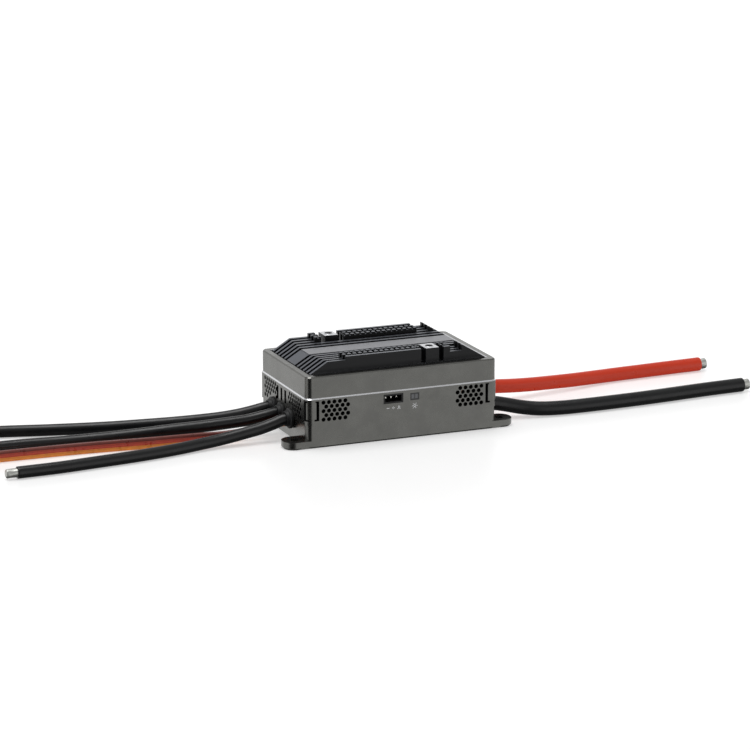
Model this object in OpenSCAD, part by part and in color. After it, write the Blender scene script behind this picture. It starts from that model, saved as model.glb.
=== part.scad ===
// Electronic speed controller in a vented two-part case with a finned heatsink,
// four mounting feet, three motor wires, two battery wires and a signal cable.
// Millimetres, +Z up. The origin is on the surface that the feet stand on, at the
// middle of the case. +X points to the battery wires, -Y to the face with the port.

/* [Case] */
// Length of the case over its vent band, without the feet
case_l = 90; // [84:1:120]
// Width of the case over its vent band
case_w = 56.5; // [54:0.5:80]
// Radius of the upright corners of the vent band
corner_r = 3.2; // [2.6:0.1:5]
// How far the base and the cover stand back from the vent band
band_step = 0.5; // [0.3:0.1:0.8]
// Height of the base, from the floor to the vent band
base_h = 10.2; // [9:0.1:14]
// Height of the vent band
band_h = 12; // [11.6:0.1:16]
// Height of the cover above the vent band
cover_h = 9.4; // [9:0.1:14]
// Thickness of the case walls
wall = 2.2; // [1.6:0.1:2.6]
// Thickness of the case floor
floor_t = 2.4; // [2:0.1:3]
// Chamfer along the top edge of the vent band
band_chamfer = 0.5; // [0.2:0.1:0.8]
// Chamfer along the bottom edge of the case and the feet
foot_chamfer = 0.8; // [0.2:0.1:1.2]
// Width of the rim round the heatsink
rim_w = 3.4; // [3:0.1:5]
// Thickness of the rim round the heatsink
rim_t = 3; // [2:0.1:3.6]
// Height of the tongue that locates the cover in the band
tongue_h = 0.9; // [0.5:0.1:1]
// Thickness of that tongue
tongue_t = 1.1; // [0.8:0.1:1.4]

/* [Feet] */
// How far each foot reaches past the end of the base
foot_reach = 9.2; // [8:0.1:14]
// Width of each foot
foot_w = 11; // [9:0.5:16]
// Thickness of each foot
foot_t = 3.4; // [2.5:0.1:5]
// Radius of the outer corners of each foot
foot_r = 5; // [3:0.1:5]
// Hole for an M3 screw in each foot
foot_hole_d = 3.4; // [3.2:0.1:4.5]

/* [Vents] */
// Diameter of the round vent holes
vent_d = 1.85; // [1:0.05:1.9]
// Distance between the holes along a row
vent_pitch = 2.52; // [2.3:0.02:3]
// Distance between the rows
vent_row = 1.88; // [1.8:0.02:2.2]
// Rows of holes in each group
vent_rows = 5; // [3:1:5]
// Holes in a row on the long faces
vent_cols = 5; // [3:1:7]
// Holes in a row on the end faces
end_vent_cols = 6; // [3:1:6]
// From the end of the case to the nearest hole of a long face
vent_inset = 8; // [7.5:0.1:12]
// From the side of the case to the nearest hole of an end face
end_vent_inset = 6.8; // [6:0.1:10]
// Width of the slots beside the vent groups
slot_w = 1.3; // [0.6:0.1:1.4]
// Height of the slots beside the vent groups
slot_h = 8.8; // [6:0.1:10]
// Width of the three wide slots in the middle of each end
end_slot_w = 2.2; // [1:0.1:3]
// Height of the three wide slots
end_slot_h = 6; // [4:0.1:6.4]
// Distance between the wide slots
end_slot_pitch = 4.7; // [4:0.1:6]

/* [Heatsink] */
// Height of the heatsink's base plate
plate_t = 3.6; // [3:0.1:5]
// Height of the fins above the rim at the middle
fin_h = 4.1; // [3:0.1:8]
// How much higher the outermost fins are
fin_rise = 0.8; // [0:0.1:1.5]
// Height of the raised rails above the rim
rail_h = 6.4; // [5.4:0.1:10]
// Length of the raised rails
rail_l = 48.8; // [44:0.1:60]
// Gap between the outer fins and the rim, on each side
side_gap = 1.4; // [1:0.1:3]
// Thickness of a fin
fin_t = 1.6; // [1:0.1:2.4]
// Width of the flat land between the two groups of fins
land_w = 9.6; // [6:0.1:12]
// Grooves on each side of the land
groove_count = 5; // [3:1:6]
// Slope of the ends of the fins
end_slope = 31.3; // [25:0.1:45]
// Width of the cuts across the rails
cross_cut_w = 0.9; // [0.5:0.1:1.2]
// Distance between the cuts across the rails
cross_cut_pitch = 2.5; // [2:0.1:4]
// Depth of the cuts across the rails
cross_cut_d = 0.7; // [0.4:0.1:1.6]
// Length of each fan boss along the heatsink
boss_l = 6.2; // [5:0.1:8]
// Width of each fan boss across the heatsink
boss_w = 8; // [6:0.1:8.6]
// Distance from the middle of the heatsink to a fan boss, along it
boss_x = 16; // [13:0.1:17]
// Tapped hole for an M3 screw in each fan boss
boss_hole_d = 2.5; // [2.4:0.1:3]
// Outer diameter of the threaded insert in each fan boss
insert_d = 4.4; // [3.8:0.1:5]
// Length of that insert
insert_l = 5; // [3:0.5:6]
// Depth of that hole
boss_hole_depth = 9; // [5:0.5:9]
// Gap between a fan boss and the rail on either side
boss_gap = 2.2; // [1:0.1:3]
// Thickness of the plate on the land
top_plate_t = 0.4; // [0.3:0.1:0.8]

/* [Port and light] */
// Width of the programming port
port_w = 9.2; // [8.8:0.1:10]
// Height of the programming port
port_h = 4.2; // [4:0.1:5.4]
// Place of the port along the case
port_x = -4.6; // [-8:0.1:0]
// Distance between the port's pins
pin_pitch = 2.54; // [2.54]
// Side of a pin
pin_side = 0.64; // [0.64]
// Width of the light's window
window_w = 4.2; // [3:0.1:6]
// Height of the light's window
window_h = 3.2; // [2.8:0.1:4.6]
// Place of the window along the case
window_x = 5.4; // [4:0.1:12]

/* [Wires] */
// Diameter of the motor wires over their insulation
motor_wire_d = 5.2; // [4:0.1:5.4]
// Diameter of the battery wires over their insulation
battery_wire_d = 6.4; // [5:0.1:6.6]
// Diameter of the tinned ends of the motor wires
motor_tip_d = 4; // [3:0.1:4.4]
// Diameter of the tinned ends of the battery wires
battery_tip_d = 5; // [4:0.1:5.6]
// Length of the tinned ends of the motor wires
motor_tip_l = 5; // [3:0.5:8]
// Length of the tinned ends of the battery wires
battery_tip_l = 3.5; // [3:0.5:8]
// Width of the three-core signal cable
cable_w = 5.1; // [3.6:0.1:5.1]
// Thickness of the signal cable
cable_t = 1.7; // [1.2:0.1:1.9]
// How far the rubber collar round a wire stands out from the wire
grommet_t = 1.8; // [1.2:0.1:1.8]
// How far the rubber reaches out of the case
grommet_reach = 3.2; // [3:0.1:6]

/* [Electronics] */
// Thickness of the circuit boards
board_t = 1.6; // [1:0.1:2]
// Height of the transistors
mosfet_h = 1; // [0.8:0.1:1.4]
// Diameter of the capacitors
cap_d = 12.5; // [8:0.1:12.5]
// Length of the capacitors
cap_l = 22; // [16:0.5:22]
// Diameter of the screws that hold the case together
screw_d = 2.5; // [2:0.1:3]

/* [Fits] */
// Gap round the boards, the heatsink and the cover's tongue
fit_gap = 0.15; // [0.1:0.05:0.3]
// Gap round a part that fills a hole in the case
seat_gap = 0.05; // [0.03:0.01:0.1]

/* [Hidden] */
$fn = 48;
eps = 0.01;

// Heights
band_z = base_h;
cover_z = base_h + band_h;
rim_z = cover_z + cover_h;
plate_top_z = rim_z - rim_t - fit_gap;
plate_z = plate_top_z - plate_t;
land_z = rim_z + fin_h;
rail_z = rim_z + rail_h;
pad_t = 0.8;
mosfet_z = plate_z - pad_t - mosfet_h;
power_z = mosfet_z - board_t;
port_z = cover_z - 1.45 - port_h / 2;
control_z = port_z - port_h / 2 - board_t - seat_gap;
vent_z = (band_z + cover_z) / 2 + 0.2;
motor_exit_z = 9.4;
battery_exit_z = 8;

// Lengths and widths
base_l = case_l - 2 * band_step;
base_w = case_w - 2 * band_step;
base_r = corner_r - band_step;
inner_l = base_l - 2 * wall;
inner_w = base_w - 2 * wall;
inner_r = max(base_r - wall, 0.5);
control_y = -inner_w / 2 + fit_gap + 8;
tongue_l = inner_l - 2 * fit_gap;
tongue_w = inner_w - 2 * fit_gap;
rim_hole_l = base_l - 2 * rim_w;
rim_hole_w = base_w - 2 * rim_w;
board_l = tongue_l - 2 * tongue_t - 2 * fit_gap;
board_w = tongue_w - 2 * tongue_t - 2 * fit_gap;
foot_x = base_l / 2 + foot_reach - 5.5;
foot_y = base_w / 2 - 5;

// Heatsink
sink_l = rim_hole_l - 2 * fit_gap;
sink_w = rim_hole_w - 2 * side_gap;
groove_pitch = (sink_w - land_w) / 2 / groove_count;
groove_w = groove_pitch - fin_t;
groove_floor_z = rim_z - 0.6;
slope_foot_x = sink_l / 2;
notch_l = boss_l + 2 * boss_gap;
rail_in = land_w / 2 + 2 * groove_pitch + groove_w;
boss_y = sink_w / 2 - boss_w / 2;
post_l = 2.6;
post_x = 31.2;
end_notch_l = 5.5;
end_notch_z = land_z - 0.2;

// Screws that pass through the base, the power board and the spacers
screw_x = board_l / 2 - 3.8;
screw_y = board_w / 2 - 3.8;
post_r = 3;
head_r = 2.3;
head_h = 1.6;
head_z = 0.4;
spacer_r = 2.6;

// Wires
motor_ys = [11.5, 1, -9.6];
battery_ys = [13.7, -13.7];
neck_t = grommet_t / 2;
motor_hole_r = motor_wire_d / 2 + neck_t;
battery_hole_r = battery_wire_d / 2 + neck_t;
collar_t = 1.3;
terminal_x = base_l / 2 - 11;
// How far a longer or shorter case moves the wires out or in
wire_shift = base_l / 2 - 44.5;
terminal_t = 2;
cable_y = -4.3;
cable_z = 7.2;
loop_r = 26;
loop_end_x = -209 - wire_shift;
loop_y = 3.6;

// Routes, from the terminal inside the case to the end of the insulation
motor_route_1 = [
    [-33.5, 11.5, 9.4], [-42, 11.5, 9.4], [-48.4, 11.5, 9.3], [-54, 11.8, 8.3],
    [-61, 12.6, 7.1], [-69, 13.6, 6.3], [-79, 15.3, 5.7], [-91, 18, 5.1], [-103, 21.5, 4.5],
    [-115, 25.6, 3.8], [-128, 30.8, 3.1], [-143, 36.3, 2.6], [-157, 40.2, 2.6],
    [-169, 43, 2.6]
];
motor_route_2 = [
    [-33.5, 1, 9.4], [-42, 1, 9.4], [-48.4, 1, 9.3], [-54, 1.1, 8.4], [-61, 1.4, 7.4],
    [-69, 1.9, 6.9],
    [-80, 3, 6.3], [-92, 5.2, 5.6], [-107, 9, 4.2], [-124, 12.6, 3.1], [-141, 15.3, 2.6],
    [-156, 17, 2.6], [-171, 17.7, 2.6]
];
motor_route_3 = [
    [-33.5, -9.6, 9.4], [-42, -9.6, 9.4], [-48.4, -9.6, 9.1], [-53, -9.6, 7.7],
    [-59, -9.7, 6.2], [-67, -9.9, 4.9], [-77, -10.3, 3.5], [-87, -11.6, 2.8], [-97, -14, 2.6],
    [-107, -16.2, 2.6], [-120, -18.3, 2.6], [-136, -20.1, 2.6], [-153, -21.9, 2.6],
    [-171, -22.4, 2.6]
];
battery_route_red = [
    [33.5, 13.7, 8], [44.5, 13.7, 8], [54, 13.7, 7.6], [63, 13.9, 7], [72, 14.7, 6.2],
    [82, 16.3, 5.4], [93, 18.4, 4.7], [105, 20.8, 4], [118, 23.6, 3.4], [131, 25.2, 3.2],
    [146, 26.1, 3.2], [160, 26.9, 3.2], [175, 27.6, 3.2]
];
battery_route_black = [
    [33.5, -13.7, 8], [44.5, -13.7, 8], [50, -13.7, 7.4], [56, -14, 6.1], [63, -15.1, 4.5],
    [71, -16.9, 3.5], [81, -18.2, 3.2], [93, -18.6, 3.2], [106, -18.3, 3.2],
    [120, -17.7, 3.2], [134, -16.7, 3.2], [148, -15.4, 3.2], [161, -14.4, 3.2],
    [175, -13.7, 3.2]
];
// The cable stands on edge all the way
cable_route = [
    [-38.7, -4.3, 7.2], [-45, -4.3, 7.2], [-48, -4.3, 6.9], [-52, -4.3, 5.9],
    [-57, -4.3, 4.7], [-62, -4.4, 3.8], [-68, -4.2, 3], [-75, -3.5, 2.6], [-83, -2.3, 2.6],
    [-94, -1.5, 2.6], [-106, -0.7, 2.6], [-119, 0.7, 2.6], [-131, 1.9, 2.6], [-144, 2.7, 2.6],
    [-157, 3.2, 2.6], [-171, 3.6, 2.6], [-184, 3.6, 2.6], [-197, 3.6, 2.6], [-209, 3.6, 2.6]
];

// ---- Shared shapes ----

// Upright box with round corners, a chamfer below and a chamfer above
module case_block(l, w, z0, z1, r, low = 0, high = 0) {
    side = [[0, z0], [-low, z0], [0, z0 + low], [0, z1 - high], [-high, z1]];
    module slab(length, half) {
        rotate([90, 0, 90]) linear_extrude(length, center = true) polygon([
            [low - half, z0], [half - low, z0], [half, z0 + low], [half, z1 - high],
            [half - high, z1], [high - half, z1], [-half, z1 - high], [-half, z0 + low]
        ]);
    }
    slab(l - 2 * r, w / 2);
    rotate([0, 0, 90]) slab(w - 2 * r, l / 2);
    for (x = [-1, 1], y = [-1, 1]) translate([x * (l / 2 - r), y * (w / 2 - r), 0])
        rotate_extrude() polygon([
            [0, z0], [r - low, z0], [r, z0 + low], [r, z1 - high], [r - high, z1], [0, z1]
        ]);
}

// Upright box with round corners and square edges
module round_block(l, w, z0, z1, r) {
    translate([-l / 2 + r, -w / 2, z0]) cube([l - 2 * r, w, z1 - z0]);
    translate([-l / 2, -w / 2 + r, z0]) cube([l, w - 2 * r, z1 - z0]);
    for (x = [-1, 1], y = [-1, 1]) translate([x * (l / 2 - r), y * (w / 2 - r), z0])
        cylinder(r = r, h = z1 - z0);
}

module block(x, y, z, size) {
    translate([x - size[0] / 2, y - size[1] / 2, z]) cube(size);
}

module at_corners(x, y) {
    for (i = [-1, 1], j = [-1, 1]) translate([i * x, j * y, 0]) children();
}

// ---- Case ----

// Places of the vent holes in one group, as [along the face, height]
function vent_group(first, step, cols) = [
    for (row = [0 : vent_rows - 1], col = [0 : cols - 1])
        [first + step * (col + (row % 2 == 1 ? 0.5 : 0)) * vent_pitch,
         vent_z + (2 - row) * vent_row]
];

// Keeps the holes that stand clear of every wire hole
function clear_of(points, ys, z, r) = [
    for (p = points)
        if (min([for (y = ys) norm(p - [y, z])]) > r + vent_d / 2 + 0.6) p
];

module long_face_vents() {
    for (side = [-1, 1])
        for (p = vent_group(side * (case_l / 2 - vent_inset), -side, vent_cols))
            translate([p[0], 0, p[1]]) rotate([90, 0, 0])
                cylinder(d = vent_d, h = case_w + 2, center = true, $fn = 24);
}

module end_face_vents(end, ys, z, r) {
    for (side = [-1, 1])
        for (p = clear_of(
                vent_group(side * (case_w / 2 - end_vent_inset), -side, end_vent_cols),
                ys, z, r))
            translate([end * case_l / 2, p[0], p[1]]) rotate([0, 90, 0])
                cylinder(d = vent_d, h = 4 * wall, center = true, $fn = 24);
    for (i = [-1 : 1])
        block(end * case_l / 2, 1.3 + i * end_slot_pitch, vent_z + 0.9 - end_slot_h / 2,
              [4 * wall, end_slot_w, end_slot_h]);
}

// A slot with a short hook at its foot and a shorter one at its head
module hooked_slot(hook, depth, hook_depth) {
    low = vent_z + 0.2 - slot_h / 2;
    block(0, 0, low, [slot_w, 2 * depth, slot_h]);
    block(hook * (slot_w + 0.9) / 2, 0, low, [0.9 + eps, 2 * hook_depth, 0.8]);
    block(hook * (slot_w + 0.4) / 2, 0, low + slot_h - 0.6, [0.4 + eps, 2 * hook_depth, 0.6]);
}

// Each upright corner of the band stands between two slots
module side_slots() {
    for (x = [-1, 1], y = [-1, 1]) {
        translate([x * (case_l / 2 - 5.4), y * case_w / 2, 0]) hooked_slot(x, wall + 0.6, 1.4);
        translate([x * case_l / 2, y * (case_w / 2 - 2), 0]) rotate([0, 0, 90])
            hooked_slot(y, 3.4, 1.4);
    }
}

module feet() {
    for (x = [-1, 1], y = [-1, 1]) scale([x, y, 1])
        translate([base_l / 2 - 4, base_w / 2 - foot_w, 0]) {
            reach = foot_reach + 4;
            c = foot_chamfer;
            translate([0, 0, c]) cube([reach - foot_r, foot_w, foot_t - c]);
            translate([0, foot_r, c]) cube([reach, foot_w - 2 * foot_r, foot_t - c]);
            translate([0, c, 0]) cube([reach - foot_r, foot_w - 2 * c, foot_t]);
            translate([0, foot_r, 0]) cube([reach - c, foot_w - 2 * foot_r, foot_t]);
            for (v = [foot_r, foot_w - foot_r]) translate([reach - foot_r, v, 0])
                rotate_extrude() polygon([
                    [0, 0], [foot_r - c, 0], [foot_r, c], [foot_r, foot_t], [0, foot_t]
                ]);
        }
}

module wire_holes(ys, z, r, end) {
    for (y = ys) translate([end * case_l / 2, y, z]) rotate([0, 90, 0])
        cylinder(r = r, h = 4 * wall, center = true);
}

module lower_case() color("#6f6f70") difference() {
    union() {
        difference() {
            union() {
                case_block(base_l, base_w, 0, band_z + 1, base_r, low = foot_chamfer);
                case_block(case_l, case_w, band_z, cover_z, corner_r, high = band_chamfer);
            }
            round_block(inner_l, inner_w, floor_t, cover_z + 1, inner_r);
        }
        feet();
        at_corners(screw_x, screw_y) translate([0, 0, floor_t - eps])
            cylinder(r = post_r, h = power_z - floor_t + eps);
    }
    at_corners(screw_x, screw_y) {
        translate([0, 0, -1]) cylinder(d = screw_d + 2 * fit_gap, h = power_z + 2);
        translate([0, 0, -1]) cylinder(r = head_r + fit_gap, h = head_z + head_h + 1);
    }
    at_corners(foot_x, foot_y) translate([0, 0, -1]) cylinder(d = foot_hole_d, h = foot_t + 2);
    long_face_vents();
    end_face_vents(-1, motor_ys, motor_exit_z, motor_wire_d / 2 + grommet_t);
    end_face_vents(1, battery_ys, battery_exit_z, battery_wire_d / 2 + grommet_t);
    side_slots();
    wire_holes(motor_ys, motor_exit_z, motor_hole_r, -1);
    wire_holes(battery_ys, battery_exit_z, battery_hole_r, 1);
    block(-case_l / 2, cable_y, cable_z - cable_w / 2 - 0.2,
          [4 * wall, cable_t + 0.4, cable_w + 0.4]);
    block(port_x, -case_w / 2, port_z - port_h / 2, [port_w, 4 * wall, port_h]);
    block(window_x, -case_w / 2, port_z - window_h / 2, [window_w, 4 * wall, window_h]);
}

module cover() color("#6f6f70") difference() {
    union() {
        case_block(base_l, base_w, cover_z, rim_z, base_r, high = 0.5);
        difference() {
            round_block(tongue_l, tongue_w, cover_z - tongue_h, cover_z + 1, inner_r);
            cube([tongue_l - 2 * tongue_t, tongue_w - 2 * tongue_t, 4 * cover_z], center = true);
        }
    }
    translate([0, 0, cover_z - 1]) block(0, 0, 0, [inner_l, inner_w, cover_h - rim_t + 1] -
        [2 * tongue_t, 2 * tongue_t, 0]);
    round_block(rim_hole_l, rim_hole_w, cover_z, rim_z + 1, 1.2);
    bevel = 0.6;
    for (turn = [0, 90]) rotate([0, 0, turn]) {
        half = (turn == 0 ? rim_hole_w : rim_hole_l) / 2;
        long = turn == 0 ? rim_hole_l : rim_hole_w;
        for (s = [-1, 1]) rotate([90, 0, 90]) linear_extrude(long, center = true) polygon([
            [s * (half - eps), rim_z - bevel], [s * (half + bevel), rim_z + eps],
            [s * (half - eps), rim_z + eps]
        ]);
    }
}

// ---- Heatsink ----

// Section of the finned block before its ends are cut
module fin_profile() {
    half = sink_w / 2;
    top = land_z + fin_rise;
    low = land_z - top_plate_t;
    polygon([
        [-half, plate_top_z - eps], [half, plate_top_z - eps], [half, top],
        [land_w / 2, land_z], [land_w / 2, low], [-land_w / 2, low],
        [-land_w / 2, land_z], [-half, top]
    ]);
}

module fin_grooves(low, high) {
    for (side = [-1, 1], k = [0 : groove_count - 1]) {
        y = side * (land_w / 2 + k * groove_pitch + groove_w / 2);
        block(0, y, low, [2 * sink_l, groove_w, high - low]);
    }
}

// Everything above the sloping ends
module end_wedges() {
    rise = rail_z - rim_z + 6;
    run = rise / tan(end_slope);
    for (s = [-1, 1]) rotate([90, 0, 0]) linear_extrude(2 * sink_w, center = true) polygon([
        [s * slope_foot_x, rim_z], [s * (slope_foot_x - run), rim_z + rise],
        [s * (slope_foot_x + 1), rim_z + rise], [s * (slope_foot_x + 1), rim_z]
    ]);
}

// Raised rail on one side, with a short post beyond its right end
module rail(side) {
    width = sink_w / 2 - rail_in;
    y = side * (sink_w - width) / 2;
    block(0, y, rim_z, [rail_l, width, rail_h]);
    block(post_x, y, rim_z, [post_l, width, rail_h]);
}

module heatsink() color("#17181a") difference() {
    union() {
        block(0, 0, plate_z, [tongue_l - 2 * tongue_t - 2 * fit_gap,
                              tongue_w - 2 * tongue_t - 2 * fit_gap, plate_t]);
        difference() {
            union() {
                rotate([90, 0, 90]) linear_extrude(sink_l, center = true) fin_profile();
                rail(-1);
                rail(1);
            }
            fin_grooves(groove_floor_z, rail_z + 1);
            end_wedges();
            for (i = [-9 : 9])
                block(i * cross_cut_pitch, 0, rail_z - cross_cut_d,
                      [cross_cut_w, sink_w - 2 * fin_t, 2]);
            for (s = [-1, 1])
                block(s * boss_x, -s * (rail_in - 0.5 + sink_w / 2), rim_z,
                      [notch_l, sink_w, rail_h + 1]);
            block((rail_l + end_notch_l) / 2, 0.5 - rail_in - sink_w / 2, end_notch_z,
                  [end_notch_l, sink_w, rail_h]);
        }
        for (s = [-1, 1])
            block(s * boss_x, -s * boss_y, plate_z, [boss_l, boss_w, rail_z - plate_z]);
    }
    for (s = [-1, 1]) translate([s * boss_x, -s * boss_y, 0]) {
        translate([0, 0, rail_z - boss_hole_depth])
            cylinder(d = boss_hole_d, h = boss_hole_depth + 1);
        translate([0, 0, rail_z - insert_l]) cylinder(d = insert_d, h = insert_l + 1);
    }
    at_corners(screw_x, screw_y) translate([0, 0, plate_z - 1])
        cylinder(d = screw_d, h = plate_t);
}

module fan_inserts() color("#b98a3c") for (s = [-1, 1])
    translate([s * boss_x, -s * boss_y, rail_z - insert_l]) difference() {
        cylinder(d = insert_d, h = insert_l + 0.15);
        translate([0, 0, -1]) cylinder(d = boss_hole_d, h = insert_l + 3);
    }

module top_plate() color("#9a9b9d") {
    long = 2 * (slope_foot_x - fin_h / tan(end_slope));
    block(0, 0, land_z - top_plate_t, [long, land_w, top_plate_t]);
}

// ---- Electronics ----

module thermal_pad() color("#b9c3cc")
    block(0, 0, plate_z - pad_t, [2 * screw_x - 8, 2 * screw_y - 8, pad_t]);

module power_board() color("#1c3b2a") difference() {
    block(0, 0, power_z, [board_l, board_w, board_t]);
    at_corners(screw_x, screw_y) translate([0, 0, power_z - 1])
        cylinder(d = screw_d + 2 * fit_gap, h = board_t + 2);
}

module mosfets() color("#202022") {
    cols = 8;
    rows = 4;
    dx = (2 * screw_x - 10) / cols;
    dy = (2 * screw_y - 10) / rows;
    for (i = [0 : cols - 1], j = [0 : rows - 1])
        block((i - (cols - 1) / 2) * dx, (j - (rows - 1) / 2) * dy, mosfet_z,
              [5, 6, mosfet_h]);
}

module board_spacers() color("#c9a94a") at_corners(screw_x, screw_y)
    translate([0, 0, power_z + board_t]) difference() {
        cylinder(r = spacer_r, h = pad_t + mosfet_h);
        translate([0, 0, -1]) cylinder(d = screw_d + 2 * fit_gap, h = pad_t + mosfet_h + 2);
    }

module case_screws() color("#3a3a3c") at_corners(screw_x, screw_y) difference() {
    union() {
        translate([0, 0, head_z]) cylinder(r = head_r, h = head_h);
        translate([0, 0, head_z]) cylinder(d = screw_d, h = plate_z + plate_t - 1.6 - head_z);
    }
    translate([0, 0, head_z - 1]) cylinder(r = 0.9, h = 2, $fn = 6);
}

module capacitors() color("#2b2f3a") {
    lead_d = 0.8;
    cap_z = floor_t + 0.6 + cap_d / 2;
    for (x = [-1, 1], y = [1.4, 15.2]) translate([x * (cap_l / 2 + 1.2), y, cap_z]) {
        rotate([0, 90, 0]) cylinder(d = cap_d, h = cap_l, center = true);
        for (v = [-2.5, 2.5]) {
            translate([x * cap_l / 2, v, 0]) rotate([0, 90 * x, 0])
                cylinder(d = lead_d, h = 1.6, $fn = 16);
            translate([x * (cap_l / 2 + 1.6), v, -lead_d / 2])
                cylinder(d = lead_d, h = power_z - cap_z + lead_d / 2, $fn = 16);
        }
    }
}

module terminal_bars(ys, exit_z, half, end) {
    for (y = ys)
        block(end * (terminal_x - terminal_t / 2), y, exit_z - half,
              [terminal_t, 2 * half, power_z - exit_z + half]);
}

module motor_terminals() color("#b87333")
    terminal_bars(motor_ys, motor_exit_z, motor_wire_d / 2 + 0.8, -1);

module battery_terminals() color("#b87333")
    terminal_bars(battery_ys, battery_exit_z, battery_wire_d / 2 + 0.8, 1);

module control_board() color("#1c3b2a")
    block(-2.5, control_y, control_z, [50, 16, board_t]);

module microcontroller() color("#202022")
    block(9, control_y + 2.9, control_z + board_t, [7, 7, 1]);

module inductor() color("#4a4a4c")
    block(-19, control_y + 2.9, control_z + board_t, [6, 6, 3]);

module board_link() color("#202022")
    block(-7, control_y + 5.2, control_z + board_t, [12, 3, power_z - control_z - board_t]);

module port_housing() color("#0f0f10") {
    depth = 9;
    shell = 0.7;
    difference() {
        block(port_x, -case_w / 2 + depth / 2 + 0.1, port_z - port_h / 2 + seat_gap,
              [port_w - 2 * seat_gap, depth, port_h - 2 * seat_gap]);
        block(port_x, -case_w / 2 + depth / 2 - 1.4, port_z - port_h / 2 + shell,
              [port_w - 2 * shell, depth, port_h - 2 * shell]);
    }
}

module port_pins() color("#c9a94a") {
    rear_y = -case_w / 2 + 10.4;
    for (i = [-1 : 1]) {
        x = port_x + i * pin_pitch;
        translate([x - pin_side / 2, -case_w / 2 + 2.8, port_z - pin_side / 2])
            cube([pin_side, rear_y + case_w / 2 - 2.8, pin_side]);
        block(x, rear_y - pin_side / 2, control_z + board_t,
              [pin_side, pin_side, port_z + pin_side / 2 - control_z - board_t]);
    }
}

module status_light() color("#d8e0d0")
    block(window_x, -case_w / 2 + 5, control_z + board_t, [2.8, 1.4, 3.4]);

module light_window() color("#8e9092")
    block(window_x, -case_w / 2 + 2.1, port_z - window_h / 2 + seat_gap,
          [window_w - 2 * seat_gap, 4, window_h - 2 * seat_gap]);

// ---- Grommets ----

// Rubber sleeve: a flange inside the wall, a neck in its hole, a collar and a short boot
module grommet(end, y, z, wire_d, hole_r) {
    bore = wire_d / 2 + seat_gap;
    neck = hole_r - seat_gap;
    collar = wire_d / 2 + grommet_t;
    collar_x = band_step + collar_t;
    face = base_l / 2;
    translate([end * face, y, z]) rotate([0, end * 90, 0]) rotate_extrude() polygon([
        [bore, -wall - 1], [hole_r + 0.6, -wall - 1], [hole_r + 0.6, -wall], [neck, -wall],
        [neck, band_step], [collar, band_step], [collar, collar_x - 0.3],
        [collar - 0.3, collar_x], [bore + 0.8, collar_x], [bore + 0.6, grommet_reach],
        [bore, grommet_reach]
    ]);
}

module motor_grommets() color("#101012")
    for (y = motor_ys) grommet(-1, y, motor_exit_z, motor_wire_d, motor_hole_r);

module battery_grommets() color("#101012")
    for (y = battery_ys) grommet(1, y, battery_exit_z, battery_wire_d, battery_hole_r);

// Rubber clamp that stands on the floor behind the wall and grips the signal cable
module cable_grommet() color("#101012") difference() {
    x = -base_l / 2 + 4.6;
    top = cable_z + cable_w / 2 + 1;
    block(x, cable_y, floor_t, [2.4, cable_t + 2.4, top - floor_t]);
    block(x, cable_y, cable_z - cable_w / 2, [4, cable_t, cable_w]);
}

// ---- Wires ----

// Directions that stand square to a route at one of its points
function along(route, i) = let (
    a = route[max(i - 1, 0)], b = route[min(i + 1, len(route) - 1)],
    d = [b[0] - a[0], b[1] - a[1], b[2] - a[2]]
) d / norm(d);
function across(t) = let (s = [-t[1], t[0], 0]) s / norm(s);
function spot(p) = [p[0], p[1], p[2]];

// Corners of one ring, from a section given as [across, up] pairs
function ring(route, i, section) = let (
    t = along(route, i), s = across(t), u = cross(t, s)
) [for (p = section) spot(route[i]) + p[0] * s + p[1] * u];

function circle_section(d, sides) = [
    for (k = [0 : sides - 1]) d / 2 * [cos(360 * k / sides), sin(360 * k / sides)]
];

module tube(rings) {
    sides = len(rings[0]);
    last = len(rings) - 1;
    polyhedron(
        points = [for (r = rings) each r],
        faces = concat(
            [[for (k = [0 : sides - 1]) k]],
            [for (i = [0 : last - 1], k = [0 : sides - 1], half = [0, 1])
                let (a = i * sides, b = a + sides, n = (k + 1) % sides)
                half == 0 ? [a + k, b + k, b + n] : [a + k, b + n, a + n]],
            [[for (k = [sides - 1 : -1 : 0]) last * sides + k]]
        )
    );
}

// end is -1 for the motor wires and 1 for the battery wires
module wire(route, d, end) {
    section = circle_section(d, 10);
    translate([end * wire_shift, 0, 0])
        tube([for (i = [0 : len(route) - 1]) ring(route, i, section)]);
}

// The flat cable's section on edge
function cable_section() = let (h = cable_t / 2, v = cable_w / 2, c = h * 0.6) [
    [h, c - v], [h, v - c], [h - c, v], [c - h, v],
    [-h, v - c], [-h, c - v], [c - h, -v], [h - c, -v]
];

// Tinned end that carries on from a route
module tip(route, d, l, end) {
    last = len(route) - 1;
    t = along(route, last);
    translate([end * wire_shift, 0, 0]) translate(spot(route[last]))
        rotate([0, acos(t[2]), atan2(t[1], t[0])]) cylinder(d = d, h = l, $fn = 32);
}

module motor_wire_1() color("#16171a") wire(motor_route_1, motor_wire_d, -1);
module motor_wire_2() color("#16171a") wire(motor_route_2, motor_wire_d, -1);
module motor_wire_3() color("#16171a") wire(motor_route_3, motor_wire_d, -1);
module battery_wire_red() color("#a32c12") wire(battery_route_red, battery_wire_d, 1);
module battery_wire_black() color("#1b1c1f")
    wire(battery_route_black, battery_wire_d, 1);
module motor_tip_1() color("#b9bab6") tip(motor_route_1, motor_tip_d, motor_tip_l, -1);
module motor_tip_2() color("#b9bab6") tip(motor_route_2, motor_tip_d, motor_tip_l, -1);
module motor_tip_3() color("#b9bab6") tip(motor_route_3, motor_tip_d, motor_tip_l, -1);
module battery_tip_red() color("#b9bab6")
    tip(battery_route_red, battery_tip_d, battery_tip_l, 1);
module battery_tip_black() color("#b9bab6")
    tip(battery_route_black, battery_tip_d, battery_tip_l, 1);

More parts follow.
